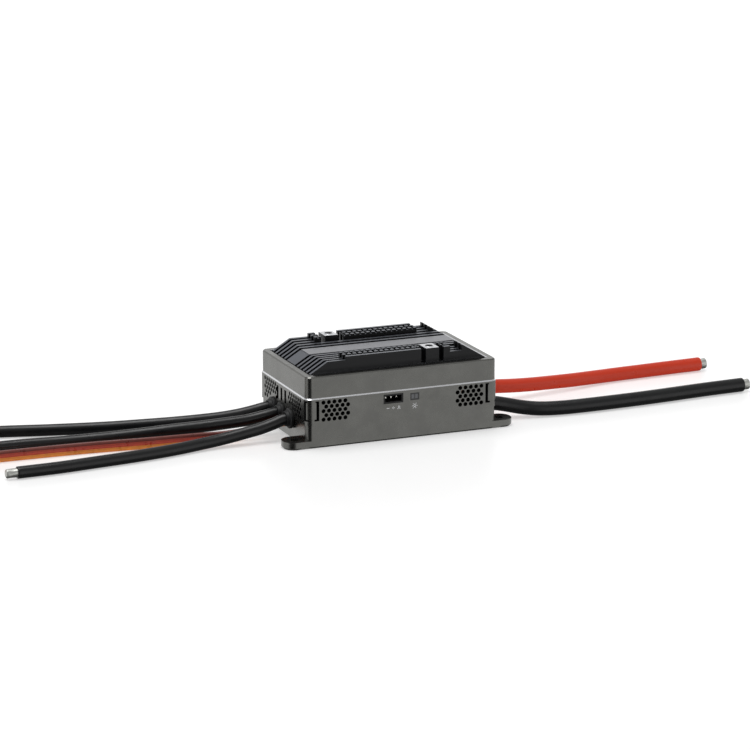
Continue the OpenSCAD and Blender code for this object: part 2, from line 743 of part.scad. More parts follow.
module signal_cable() color("#b86420") translate([-wire_shift, 0, 0])
    tube([for (i = [0 : len(cable_route) - 1])
        ring(cable_route, i, cable_section())]);

// Three quarters of a turn, on edge
module signal_loop() color("#b86420")
    translate([loop_end_x, loop_y + loop_r, 2.6 - cable_w / 2])
        rotate_extrude(angle = 270, $fn = 96)
            translate([loop_r - cable_t / 2, 0]) square([cable_t, cable_w]);

module signal_plug() color("#131314")
    difference() {
        block(loop_end_x + loop_r, loop_y + loop_r - 7, 0, [2.6, 14, 8]);
        for (i = [-1 : 1])
            block(loop_end_x + loop_r, loop_y + loop_r - 12, 4 + i * pin_pitch - 0.6,
                  [1.2, 8, 1.2]);
    }

module plug_contacts() color("#c9a94a")
    for (i = [-1 : 1])
        block(loop_end_x + loop_r, loop_y + loop_r - 8.8, 4 + i * pin_pitch - 0.5, [1, 1.5, 1]);

lower_case();
cover();
heatsink();
fan_inserts();
top_plate();
thermal_pad();
power_board();
mosfets();
board_spacers();
case_screws();
capacitors();
motor_terminals();
battery_terminals();
control_board();
microcontroller();
inductor();
board_link();
port_housing();
port_pins();
status_light();
light_window();
motor_grommets();
battery_grommets();
cable_grommet();
motor_wire_1();
motor_wire_2();
motor_wire_3();
battery_wire_red();
battery_wire_black();
signal_cable();
signal_loop();
motor_tip_1();
motor_tip_2();
motor_tip_3();
battery_tip_red();
battery_tip_black();
signal_plug();
plug_contacts();
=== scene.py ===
"""Electronic speed controller: finishes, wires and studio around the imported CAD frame."""

import math

import bmesh
import bpy
import numpy as np
from bpy.props import FloatProperty, FloatVectorProperty, PointerProperty, StringProperty
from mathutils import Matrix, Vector


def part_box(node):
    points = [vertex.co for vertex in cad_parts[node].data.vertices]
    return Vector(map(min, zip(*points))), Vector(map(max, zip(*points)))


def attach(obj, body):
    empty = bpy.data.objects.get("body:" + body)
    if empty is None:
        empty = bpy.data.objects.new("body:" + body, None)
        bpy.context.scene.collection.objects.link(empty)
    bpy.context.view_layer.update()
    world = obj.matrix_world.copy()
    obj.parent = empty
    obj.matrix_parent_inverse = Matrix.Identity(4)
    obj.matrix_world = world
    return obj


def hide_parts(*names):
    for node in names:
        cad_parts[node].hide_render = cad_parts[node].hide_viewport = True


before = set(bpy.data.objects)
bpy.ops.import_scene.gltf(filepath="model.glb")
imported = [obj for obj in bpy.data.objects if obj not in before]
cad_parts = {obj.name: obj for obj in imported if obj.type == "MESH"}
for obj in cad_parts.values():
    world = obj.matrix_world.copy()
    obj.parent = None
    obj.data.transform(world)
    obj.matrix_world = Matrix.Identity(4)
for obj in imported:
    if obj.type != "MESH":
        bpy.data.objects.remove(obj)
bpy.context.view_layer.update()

bl_info = {
    "name": "Speed controller",
    "version": (1, 0, 0),
    "blender": (4, 5, 0),
    "location": "3D View > Sidebar > Controller",
    "description": "Builds the wires, finishes and studio of a vented speed controller",
    "category": "Object",
}

MM = 0.001

# Centre-lines of the wires in metres, from the terminal to the end of the insulation
MOTOR_ROUTES = {
    "motor_wire_1": [
        (-0.0335, 0.0115, 0.0094), (-0.042, 0.0115, 0.0094), (-0.0484, 0.0115, 0.0093),
        (-0.054, 0.0118, 0.0083), (-0.061, 0.0126, 0.0071), (-0.069, 0.0136, 0.0063),
        (-0.079, 0.0153, 0.0057), (-0.091, 0.018, 0.0051), (-0.103, 0.0215, 0.0045),
        (-0.115, 0.0256, 0.0038), (-0.128, 0.0308, 0.0031), (-0.143, 0.0363, 0.0026),
        (-0.157, 0.0402, 0.0026), (-0.169, 0.043, 0.0026),
    ],
    "motor_wire_2": [
        (-0.0335, 0.001, 0.0094), (-0.042, 0.001, 0.0094), (-0.0484, 0.001, 0.0093),
        (-0.054, 0.0011, 0.0084), (-0.061, 0.0014, 0.0074), (-0.069, 0.0019, 0.0069),
        (-0.08, 0.003, 0.0063), (-0.092, 0.0052, 0.0056), (-0.107, 0.009, 0.0042),
        (-0.124, 0.0126, 0.0031), (-0.141, 0.0153, 0.0026), (-0.156, 0.017, 0.0026),
        (-0.171, 0.0177, 0.0026),
    ],
    "motor_wire_3": [
        (-0.0335, -0.0096, 0.0094), (-0.042, -0.0096, 0.0094), (-0.0484, -0.0096, 0.0091),
        (-0.053, -0.0096, 0.0077), (-0.059, -0.0097, 0.0062), (-0.067, -0.0099, 0.0049),
        (-0.077, -0.0103, 0.0035), (-0.087, -0.0116, 0.0028), (-0.097, -0.014, 0.0026),
        (-0.107, -0.0162, 0.0026), (-0.12, -0.0183, 0.0026), (-0.136, -0.0201, 0.0026),
        (-0.153, -0.0219, 0.0026), (-0.171, -0.0224, 0.0026),
    ],
}
BATTERY_ROUTES = {
    "battery_wire_red": [
        (0.0335, 0.0137, 0.008), (0.0445, 0.0137, 0.008), (0.054, 0.0137, 0.0076),
        (0.063, 0.0139, 0.007), (0.072, 0.0147, 0.0062), (0.082, 0.0163, 0.0054),
        (0.093, 0.0184, 0.0047), (0.105, 0.0208, 0.004), (0.118, 0.0236, 0.0034),
        (0.131, 0.0252, 0.0032), (0.146, 0.0261, 0.0032), (0.16, 0.0269, 0.0032),
        (0.175, 0.0276, 0.0032),
    ],
    "battery_wire_black": [
        (0.0335, -0.0137, 0.008), (0.0445, -0.0137, 0.008), (0.05, -0.0137, 0.0074),
        (0.056, -0.014, 0.0061), (0.063, -0.0151, 0.0045), (0.071, -0.0169, 0.0035),
        (0.081, -0.0182, 0.0032), (0.093, -0.0186, 0.0032), (0.106, -0.0183, 0.0032),
        (0.12, -0.0177, 0.0032), (0.134, -0.0167, 0.0032), (0.148, -0.0154, 0.0032),
        (0.161, -0.0144, 0.0032), (0.175, -0.0137, 0.0032),
    ],
}
# The signal lead stands on edge all the way
SIGNAL_ROUTE = [
    (-0.0387, -0.0043, 0.0072), (-0.045, -0.0043, 0.0072), (-0.048, -0.0043, 0.0069),
    (-0.052, -0.0043, 0.0059), (-0.057, -0.0043, 0.0047), (-0.062, -0.0044, 0.0038),
    (-0.068, -0.0042, 0.003), (-0.075, -0.0035, 0.0026), (-0.083, -0.0023, 0.0026),
    (-0.094, -0.0015, 0.0026), (-0.106, -0.0007, 0.0026), (-0.119, 0.0007, 0.0026),
    (-0.131, 0.0019, 0.0026), (-0.144, 0.0027, 0.0026), (-0.157, 0.0032, 0.0026),
    (-0.171, 0.0036, 0.0026), (-0.184, 0.0036, 0.0026), (-0.197, 0.0036, 0.0026),
    (-0.209, 0.0036, 0.0026),
]
LOOP_CENTRE = (-0.209, 0.0296)
LOOP_R = 0.026

# Middle of each fan boss on the heatsink, and half the length and width of its top
FAN_BOSSES = ((0.016, -0.01895), (-0.016, 0.01895))
BOSS_HALF = (0.0031, 0.004)

# The wires: distance between rings, the rounding of the insulation's cut end, how much
# insulation wraps the strands there, and the domed end of the strands
RING_STEP = 0.0013
LIP = 0.00035
SKIN = 0.0003
DOME = 0.0006
WIRE_SIDES = 32
RIDGES = 22

# The signal lead: distance between rings, and the number of rings in its loop
LEAD_STEP = 0.0014
LOOP_RINGS = 90

# Painted shade inside the case, near-black: the cavity, then the half length and half width of the
# boxes that hold the walls of the vents and slots between BAND_LOW and BAND_HIGH
CAVITY = ([-0.0425, -0.0258, 0.0023], [0.0425, 0.0258, 0.0221])
BAND_BOXES = ((0.0414, 0.0278), (0.0446, 0.0247), (0.0445, 0.0269))
BAND_LOW, BAND_HIGH = 0.0104, 0.0217
# Half the opening of the cover's rim, with its chamfer, and the height of both chamfers
RIM_HALF = (0.0418, 0.0251)
CHAMFER_HIGH = 0.0007
# Ranges of a normal's z: any face, a chamfer, a level face, and a fin's top or slope
ANY_WAY, CHAMFER, LEVEL, FACING_UP = (-2, 2), (0.4, 0.95), (0.9, 1.1), (0.8, 1.1)
# Slack of a box round the faces that lie on its edge
SLACK = 0.0001

# Printed marks: height of the ink, half the width of a line, and how far below the port
INK_HIGH = 0.00003
INK_HALF = 0.00016
MARK_DROP = 0.0021


# ---- Colour and node helpers ----

def linear(code, alpha=1.0):
    """sRGB hex to linear: c / 12.92 below 0.04045, else ((c + 0.055) / 1.055) ** 2.4."""
    c = np.array([int(code[i:i + 2], 16) for i in (1, 3, 5)]) / 255
    c = np.where(c <= 0.04045, c / 12.92, ((c + 0.055) / 1.055) ** 2.4)
    return (*c.tolist(), alpha)


def add(tree, kind, links=None, **settings):
    """Adds one node. Settings that name a socket fill it, others are properties."""
    made = tree.nodes.new("ShaderNode" + kind)
    for name, value in settings.items():
        key = name.replace("_", " ")
        socket = next((s for s in made.inputs if s.name.lower() == key.lower()), None)
        if socket is not None:
            socket.default_value = value
        else:
            setattr(made, name, value)
    for name, source in (links or {}).items():
        tree.links.new(source, made.inputs[name])
    return made


def ramp(tree, fac, stops):
    """A colour ramp whose stops are (place, grey or linear colour)."""
    made = add(tree, "ValToRGB", {"Fac": fac})
    band = made.color_ramp
    while len(band.elements) < len(stops):
        band.elements.new(0.5)
    for element, (place, value) in zip(band.elements, stops):
        element.position = place
        element.color = value if isinstance(value, tuple) else (value, value, value, 1)
    return made.outputs["Color"]


def material(name):
    """A new material with its tree, its shader and Object coordinates."""
    made = bpy.data.materials.new(name)
    made.use_nodes = True
    tree = made.node_tree
    tree.nodes.clear()
    shader = add(tree, "BsdfPrincipled")
    out = add(tree, "OutputMaterial")
    tree.links.new(shader.outputs["BSDF"], out.inputs["Surface"])
    coords = add(tree, "TexCoord")
    return made, tree, shader, coords


def set_bump(tree, shader, height, strength, distance):
    """Joins a height to the shader's normal. distance is in metres."""
    bump = add(tree, "Bump", {"Height": height}, Strength=strength, Distance=distance)
    tree.links.new(bump.outputs["Normal"], shader.inputs["Normal"])


def noise(tree, vector, size_mm, detail=4.0, rough=0.55):
    """Noise whose blobs are about size_mm across."""
    made = add(tree, "TexNoise", {"Vector": vector}, Scale=1000 / size_mm, Detail=detail,
               Roughness=rough)
    return made.outputs["Fac"]


def stretched(tree, vector, scale):
    """Coordinates squeezed along an axis, so that a noise on them runs in lines."""
    return add(tree, "Mapping", {"Vector": vector}, Scale=scale).outputs["Vector"]


# ---- Finishes ----

def blasted_aluminium(name, code, rough=0.27, metallic=0.97):
    """Die-cast aluminium, blasted with fine grit and anodised: an even satin grey whose
    grain only shows where the light grazes it, with slightly cloudy dye."""
    made, tree, shader, coords = material(name)
    space = coords.outputs["Object"]
    cloud = noise(tree, space, 14, 3)
    base = np.array(linear(code)[:3])
    tint = ramp(tree, cloud, [(0.3, (*(base * 0.94), 1)), (0.7, (*(base * 1.06), 1))])
    tree.links.new(tint, shader.inputs["Base Color"])
    # Grit marks are about 0.1 mm: drawn at 0.25 mm so that they show
    grit = noise(tree, space, 0.25, 2, 0.6)
    patch = ramp(tree, noise(tree, space, 5, 3), [(0.3, rough - 0.03), (0.7, rough + 0.04)])
    tree.links.new(patch, shader.inputs["Roughness"])
    shader.inputs["Metallic"].default_value = metallic
    set_bump(tree, shader, grit, 0.05, 0.00003)
    return made


def cut_chamfer(name, code="#e4e5e8"):
    """Aluminium cut with a diamond tool after anodising: bare, bright and finely lined."""
    made, tree, shader, coords = material(name)
    lines = noise(tree, stretched(tree, coords.outputs["Object"], (0.05, 0.05, 3)), 0.2, 2)
    shader.inputs["Base Color"].default_value = linear(code)
    shader.inputs["Metallic"].default_value = 1.0
    tree.links.new(ramp(tree, lines, [(0.3, 0.22), (0.7, 0.34)]), shader.inputs["Roughness"])
    set_bump(tree, shader, lines, 0.1, 0.00001)
    return made


def black_anodised(name, code, rough, metallic, streak=0.2):
    """Extruded aluminium, machined and anodised black: die lines run along the fins and
    turn the sheen into faint streaks."""
    made, tree, shader, coords = material(name)
    space = coords.outputs["Object"]
    base = np.array(linear(code)[:3])
    # Die lines are about 0.3 mm apart and tens of millimetres long
    lines = noise(tree, stretched(tree, space, (0.02, 1, 1)), 0.3, 3)
    tint = ramp(tree, lines, [(0.3, (*(base * 0.85), 1)), (0.7, (*(base * 1.2), 1))])
    tree.links.new(tint, shader.inputs["Base Color"])
    shine = ramp(tree, lines, [(0.25, rough - 0.06), (0.75, rough + 0.08)])
    tree.links.new(shine, shader.inputs["Roughness"])
    shader.inputs["Metallic"].default_value = metallic
    set_bump(tree, shader, lines, streak, 0.00002)
    return made


def brushed_plate(name, code):
    """Thin aluminium sheet, brushed lengthwise and clear anodised: a grey sheen that is
    broken into fine lines along its length."""
    made, tree, shader, coords = material(name)
    base = np.array(linear(code)[:3])
    lines = noise(tree, stretched(tree, coords.outputs["Object"], (0.012, 1, 1)), 0.22, 5, 0.7)
    tint = ramp(tree, lines, [(0.3, (*(base * 0.88), 1)), (0.7, (*(base * 1.14), 1))])
    tree.links.new(tint, shader.inputs["Base Color"])
    tree.links.new(ramp(tree, lines, [(0.3, 0.3), (0.7, 0.48)]), shader.inputs["Roughness"])
    shader.inputs["Metallic"].default_value = 0.8
    set_bump(tree, shader, lines, 0.25, 0.00002)
    return made


def silicone(name, code, rough=0.3, dust=0.007):
    """Extruded silicone rubber over stranded copper: a soft satin skin, a faint spiral from
    the strands below and a little pale dust."""
    made, tree, shader, coords = material(name)
    base = np.array(linear(code)[:3])
    # The map is in millimetres: x round the wire and y along it
    wire_map = coords.outputs["UV"]
    lay = add(tree, "TexWave", {"Vector": stretched(tree, wire_map, (1, 0.35, 1))},
              wave_type="BANDS", bands_direction="DIAGONAL", Scale=0.42, Distortion=1.5,
              Detail=2.0, Detail_Scale=0.6)
    specks = noise(tree, coords.outputs["Object"], 0.35, 4, 0.65)
    pale = tuple(np.clip(base + dust, 0, 1)) + (1,)
    tint = ramp(tree, specks, [(0.42, (*base, 1)), (0.8, pale)])
    tree.links.new(tint, shader.inputs["Base Color"])
    cloud = noise(tree, coords.outputs["Object"], 6, 3)
    tree.links.new(ramp(tree, cloud, [(0.3, rough - 0.05), (0.7, rough + 0.07)]),
                   shader.inputs["Roughness"])
    shader.inputs["IOR"].default_value = 1.43
    mixed = add(tree, "Math", {0: lay.outputs["Fac"], 1: specks}, operation="ADD")
    set_bump(tree, shader, mixed.outputs[0], 0.12, 0.00004)
    return made


def vinyl(name, code):
    """PVC insulation of a thin lead: brighter and glossier than silicone, slightly uneven
    from the extruder."""
    made, tree, shader, coords = material(name)
    base = np.array(linear(code)[:3])
    cloud = noise(tree, coords.outputs["Object"], 3, 3)
    tint = ramp(tree, cloud, [(0.3, (*(base * 0.88), 1)), (0.7, (*np.clip(base * 1.12, 0, 1), 1))])
    tree.links.new(tint, shader.inputs["Base Color"])
    tree.links.new(ramp(tree, cloud, [(0.3, 0.26), (0.7, 0.36)]), shader.inputs["Roughness"])
    shader.inputs["IOR"].default_value = 1.53
    set_bump(tree, shader, noise(tree, coords.outputs["UV"], 1200, 2), 0.15, 0.00003)
    return made


def moulded(name, code, rough=0.5, grain_mm=0.3, strength=0.15):
    """Moulded plastic or rubber with a spark-eroded grain: even colour, soft broken gloss."""
    made, tree, shader, coords = material(name)
    base = np.array(linear(code)[:3])
    grain = noise(tree, coords.outputs["Object"], grain_mm, 3, 0.6)
    tint = ramp(tree, grain, [(0.3, (*(base * 0.9), 1)), (0.7, (*(base * 1.1), 1))])
    tree.links.new(tint, shader.inputs["Base Color"])
    tree.links.new(ramp(tree, grain, [(0.3, rough - 0.05), (0.7, rough + 0.06)]),
                   shader.inputs["Roughness"])
    set_bump(tree, shader, grain, strength, 0.00004)
    return made


def plain_metal(name, code, rough=0.3, grain_mm=0.4):
    """Turned or drawn metal, bare or plated, with fine tool marks."""
    made, tree, shader, coords = material(name)
    base = np.array(linear(code)[:3])
    marks = noise(tree, coords.outputs["Object"], grain_mm, 4, 0.6)
    tint = ramp(tree, marks, [(0.3, (*(base * 0.82), 1)), (0.7, (*np.clip(base * 1.1, 0, 1), 1))])
    tree.links.new(tint, shader.inputs["Base Color"])
    tree.links.new(ramp(tree, marks, [(0.3, rough - 0.06), (0.7, rough + 0.1)]),
                   shader.inputs["Roughness"])
    shader.inputs["Metallic"].default_value = 1.0
    set_bump(tree, shader, marks, 0.2, 0.00003)
    return made


def pin_metal(name, code, tip_y):
    """Tin-plated brass pin: bright on its cut tip, dull and dark along its sides, where the
    housing shades it: the darkening is painted shade in its colour."""
    made, tree, shader, coords = material(name)
    y = add(tree, "SeparateXYZ", {"Vector": coords.outputs["Object"]}).outputs["Y"]
    back = add(tree, "MapRange", {"Value": y}, From_Min=tip_y, From_Max=tip_y + 0.001)
    marks = noise(tree, coords.outputs["Object"], 0.3, 3)
    base = np.array(linear(code)[:3])
    # Painted shade: behind the tip the colour falls to an eighth, where the housing shades the pin
    tint = ramp(tree, back.outputs[0], [(0.1, (*base, 1)), (0.6, (*(base * 0.12), 1))])
    tree.links.new(tint, shader.inputs["Base Color"])
    tree.links.new(ramp(tree, marks, [(0.3, 0.25), (0.7, 0.38)]), shader.inputs["Roughness"])
    shader.inputs["Metallic"].default_value = 1.0
    return made


def solder_mask(name, code):
    """Glass-epoxy board under green solder mask: glossy, with tracks that stand up a little."""
    made, tree, shader, coords = material(name)
    base = np.array(linear(code)[:3])
    tracks = add(tree, "TexVoronoi", {"Vector": coords.outputs["Object"]}, Scale=420,
                 distance="MANHATTAN", feature="F1")
    tint = ramp(tree, tracks.outputs["Distance"], [(0.35, (*base, 1)), (0.4, (*(base * 1.7), 1))])
    tree.links.new(tint, shader.inputs["Base Color"])
    shader.inputs["Roughness"].default_value = 0.28
    set_bump(tree, shader, tracks.outputs["Distance"], 0.2, 0.00004)
    return made


def smoky_window(name, code, box):
    """Frosted polycarbonate light guide: a smoky pane over two paler light wells, with the
    dark edge of the pane round them."""
    made, tree, shader, coords = material(name)
    middle = [(box[0][i] + box[1][i]) / 2 for i in range(3)]
    wide, high = box[1][0] - box[0][0], box[1][2] - box[0][2]
    # On the pane x and z run from -1 to 1
    pane = add(tree, "Mapping", {"Vector": coords.outputs["Object"]}, vector_type="TEXTURE",
               Location=middle, Scale=(wide / 2, 1, high / 2)).outputs["Vector"]
    axes = add(tree, "SeparateXYZ", {"Vector": pane})
    x = add(tree, "Math", {0: axes.outputs["X"]}, operation="ABSOLUTE").outputs[0]
    z = add(tree, "Math", {0: axes.outputs["Z"]}, operation="ABSOLUTE").outputs[0]
    well = ramp(tree, x, [(0.06, 0.0), (0.16, 1.0), (0.62, 1.0), (0.78, 0.0)])
    tall = ramp(tree, z, [(0.5, 1.0), (0.72, 0.0)])
    both = add(tree, "Math", {0: well, 1: tall}, operation="MULTIPLY").outputs[0]
    base = np.array(linear(code)[:3])
    tint = ramp(tree, both, [(0.0, (*(base * 0.35), 1)), (1.0, (*(base * 2.2), 1))])
    tree.links.new(tint, shader.inputs["Base Color"])
    shader.inputs["IOR"].default_value = 1.58
    frost = noise(tree, coords.outputs["Object"], 0.2, 3)
    tree.links.new(ramp(tree, frost, [(0.3, 0.25), (0.7, 0.4)]), shader.inputs["Roughness"])
    set_bump(tree, shader, frost, 0.1, 0.00002)
    return made


def lit_acrylic(name, code, glow):
    """White acrylic light table: it glows evenly, so that shadows on it are pale, and its
    satin top gives a weak blurred reflection."""
    made, tree, shader, coords = material(name)
    shader.inputs["Base Color"].default_value = linear(code)
    shader.inputs["Emission Color"].default_value = (1, 1, 1, 1)
    shader.inputs["Emission Strength"].default_value = glow
    haze = noise(tree, coords.outputs["Object"], 90, 2)
    tree.links.new(ramp(tree, haze, [(0.3, 0.30), (0.7, 0.34)]), shader.inputs["Roughness"])
    shader.inputs["IOR"].default_value = 1.4
    return made


# ---- Shapes ----

def smooth_route(points, step):
    """Catmull-Rom curve through the points, then cut into equal steps by arc length.

    Between points 1 and 2 of any four, at u from 0 to 1, the curve is
    ((-u + 2uu - uuu) p0 + (2 - 5uu + 3uuu) p1 + (u + 4uu - 3uuu) p2 + (uuu - uu) p3) / 2.
    """
    p = np.array(points, float)
    p = np.vstack([2 * p[0] - p[1], p, 2 * p[-1] - p[-2]])
    u = np.linspace(0, 1, 24, endpoint=False)[None, :, None]
    p0, p1, p2, p3 = (p[i:len(p) - 3 + i, None, :] for i in range(4))
    curve = ((-u + 2 * u**2 - u**3) * p0 + (2 - 5 * u**2 + 3 * u**3) * p1
             + (u + 4 * u**2 - 3 * u**3) * p2 + (u**3 - u**2) * p3) / 2
    curve = np.vstack([curve.reshape(-1, p.shape[1]), p[-2][None, :]])
    gone = np.concatenate([[0], np.cumsum(np.linalg.norm(np.diff(curve[:, :3], axis=0), axis=1))])
    places = np.linspace(0, gone[-1], max(int(round(gone[-1] / step)), 2) + 1)
    even = np.column_stack([np.interp(places, gone, c) for c in curve.T])
    return even, places


def directions(centres, up):
    """At each point: the tangent, across = up x tangent, and over = tangent x across."""
    ahead = np.gradient(centres, axis=0)
    ahead /= np.linalg.norm(ahead, axis=1, keepdims=True)
    across = np.cross(np.array(up, float)[None, :], ahead)
    across /= np.linalg.norm(across, axis=1, keepdims=True)
    return ahead, across, np.cross(ahead, across)


def mesh_from(name, verts, faces, uvs=None, slots=None):
    """Puts arrays into a new mesh object at the origin. faces is a list of index arrays."""
    mesh = bpy.data.meshes.new(name)
    mesh.from_pydata(verts, [], faces)
    if uvs is not None:
        layer = mesh.uv_layers.new(name="UVMap")
        layer.data.foreach_set("uv", np.asarray(uvs, np.float32).ravel())
    if slots is not None:
        mesh.polygons.foreach_set("material_index", np.asarray(slots, np.int32))
    mesh.polygons.foreach_set("use_smooth", np.ones(len(mesh.polygons), bool))
    mesh.update()
    made = bpy.data.objects.new(name, mesh)
    bpy.context.scene.collection.objects.link(made)
    return made


def swept(name, centres, sections, along, up=(0, 0, 1), columns=None):
    """A section carried along a path.

    Ring i, corner k is centre_i + a across_i + b over_i, where (a, b) is section i, corner k.
    Rings are joined by quads and each end is closed by one flat face. The UV map is in
    millimetres: x round the section and y along the path.
    """
    _, across, over = directions(centres, up)
    n, m = sections.shape[:2]
    verts = (centres[:, None, :] + sections[:, :, :1] * across[:, None, :]
             + sections[:, :, 1:] * over[:, None, :]).reshape(-1, 3)
    i, k = np.meshgrid(np.arange(n - 1), np.arange(m), indexing="ij")
    j = (k + 1) % m
    quads = np.stack([i * m + k, i * m + j, (i + 1) * m + j, (i + 1) * m + k], axis=-1)
    faces = quads.reshape(-1, 4).tolist()
    faces += [list(range(m - 1, -1, -1)), list(range((n - 1) * m, n * m))]
    edge = np.linalg.norm(np.diff(sections[n // 2], axis=0, append=sections[n // 2][:1]), axis=1)
    round_mm = np.concatenate([[0], np.cumsum(edge)]) / MM
    x = np.stack([round_mm[k], round_mm[k + 1], round_mm[k + 1], round_mm[k]], axis=-1)
    y = np.stack([along[i], along[i], along[i + 1], along[i + 1]], axis=-1) / MM
    uvs = np.stack([x, y], axis=-1).reshape(-1, 2)
    uvs = np.vstack([uvs, np.zeros((2 * m, 2))])
    slots = None
    if columns is not None:
        slots = np.concatenate([np.tile(columns, n - 1), [columns[0], columns[0]]])
    return mesh_from(name, verts, faces, uvs, slots)


def round_sections(radii, sides):
    """Circles: (r cos t, r sin t) for t in equal steps."""
    t = np.arange(sides) * 2 * np.pi / sides
    return np.asarray(radii)[:, None, None] * np.stack([np.cos(t), np.sin(t)], axis=-1)[None]


def finish_piece(piece, materials, replaced=()):
    """Gives a piece its materials and its body, and hides the CAD parts that it replaces."""
    for finish in materials:
        piece.data.materials.append(finish)
    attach(piece, "root")
    if replaced:
        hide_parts(*replaced)
    return piece


def softened(node, name, width_mm, segments=2, edge_slot=-1, angle=28.0):
    """A welded copy of a CAD node whose sharp edges get a narrow rounded bevel."""
    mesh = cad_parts[node].data.copy()
    mesh.name = name
    mesh.materials.clear()
    work = bmesh.new()
    work.from_mesh(mesh)
    bmesh.ops.remove_doubles(work, verts=work.verts, dist=2e-6)
    bmesh.ops.dissolve_degenerate(work, edges=work.edges, dist=1e-6)
    bmesh.ops.dissolve_limit(work, angle_limit=math.radians(0.3), verts=work.verts,
                             edges=work.edges, use_dissolve_boundaries=False)
    work.to_mesh(mesh)
    work.free()
    # A face with only sharp edges round it is flat, and is shaded so
    curved = np.zeros(len(mesh.polygons), bool)
    work = bmesh.new()
    work.from_mesh(mesh)
    for edge in work.edges:
        if edge.is_manifold and edge.calc_face_angle() < math.radians(angle):
            curved[[face.index for face in edge.link_faces]] = True
    work.free()
    mesh.polygons.foreach_set("use_smooth", curved)
    mesh.set_sharp_from_angle(angle=math.radians(angle))
    made = bpy.data.objects.new(name, mesh)
    bpy.context.scene.collection.objects.link(made)
    bevel = made.modifiers.new("edge", "BEVEL")
    bevel.width = width_mm * MM
    bevel.segments = segments
    bevel.limit_method = "ANGLE"
    bevel.angle_limit = math.radians(angle)
    bevel.use_clamp_overlap = True
    bevel.miter_outer = "MITER_ARC"
    if edge_slot >= 0:
        bevel.material = edge_slot
    # The largest face at a corner sets its normal, so flat faces stay flat
    weigh = made.modifiers.new("flat_faces", "WEIGHTED_NORMAL")
    weigh.keep_sharp = True
    weigh.weight = 90
    return made


# ---- Settings ----

class ControllerCase(bpy.types.PropertyGroup):
    """Finish of the case and the heatsink"""

    case_colour: StringProperty(name="Case colour", default="#6c6c69",
                                description="Grey of the anodised case, as sRGB hex")
    sink_colour: StringProperty(name="Heatsink colour", default="#0d0e11",
                                description="Black of the anodised heatsink, as sRGB hex")
    case_edge: FloatProperty(name="Case edge", default=0.00012, unit="LENGTH",
                             description="Width of the rounding on the case's edges")
    sink_edge: FloatProperty(name="Fin edge", default=0.00014, unit="LENGTH",
                             description="Width of the rounding on the fins' edges")


class ControllerWires(bpy.types.PropertyGroup):
    """Sizes and colours of the wires"""

    motor_d: FloatProperty(name="Motor wire", default=0.0052, unit="LENGTH",
                           description="Diameter of a motor wire over its insulation")
    battery_d: FloatProperty(name="Battery wire", default=0.0064, unit="LENGTH",
                             description="Diameter of a battery wire over its insulation")
    motor_tip_d: FloatProperty(name="Motor tip", default=0.004, unit="LENGTH",
                               description="Diameter of a motor wire's tinned end")
    battery_tip_d: FloatProperty(name="Battery tip", default=0.005, unit="LENGTH",
                                 description="Diameter of a battery wire's tinned end")
    core_d: FloatProperty(name="Signal core", default=0.0017, unit="LENGTH",
                          description="Diameter of one core of the signal lead")
    black: StringProperty(name="Black", default="#0a0b0d",
                          description="Black silicone, as sRGB hex")
    red: StringProperty(name="Red", default="#c83008",
                        description="Red silicone, as sRGB hex")


class ControllerStage(bpy.types.PropertyGroup):
    """Camera, floor and lights"""

    lens: FloatProperty(name="Lens", default=144.14, description="Focal length in millimetres")
    camera_at: FloatVectorProperty(name="Camera", default=(-0.4903, -1.1795, 0.3546),
                                   subtype="TRANSLATION", description="Place of the camera")
    turn: FloatVectorProperty(name="Camera turn", subtype="EULER",
                              default=(math.radians(75.4), 0, math.radians(-22.51)),
                              description="Turn of the camera")
    top_light: FloatProperty(name="Top light", default=1.7,
                             description="Strength of the soft light overhead")
    table: FloatProperty(name="Table light", default=0.45,
                         description="Brightness of the light table")
    sky: FloatProperty(name="Room light", default=1.0,
                       description="Brightness of the white room")


# ---- Stage, made first because the wires are measured against the camera's view ----

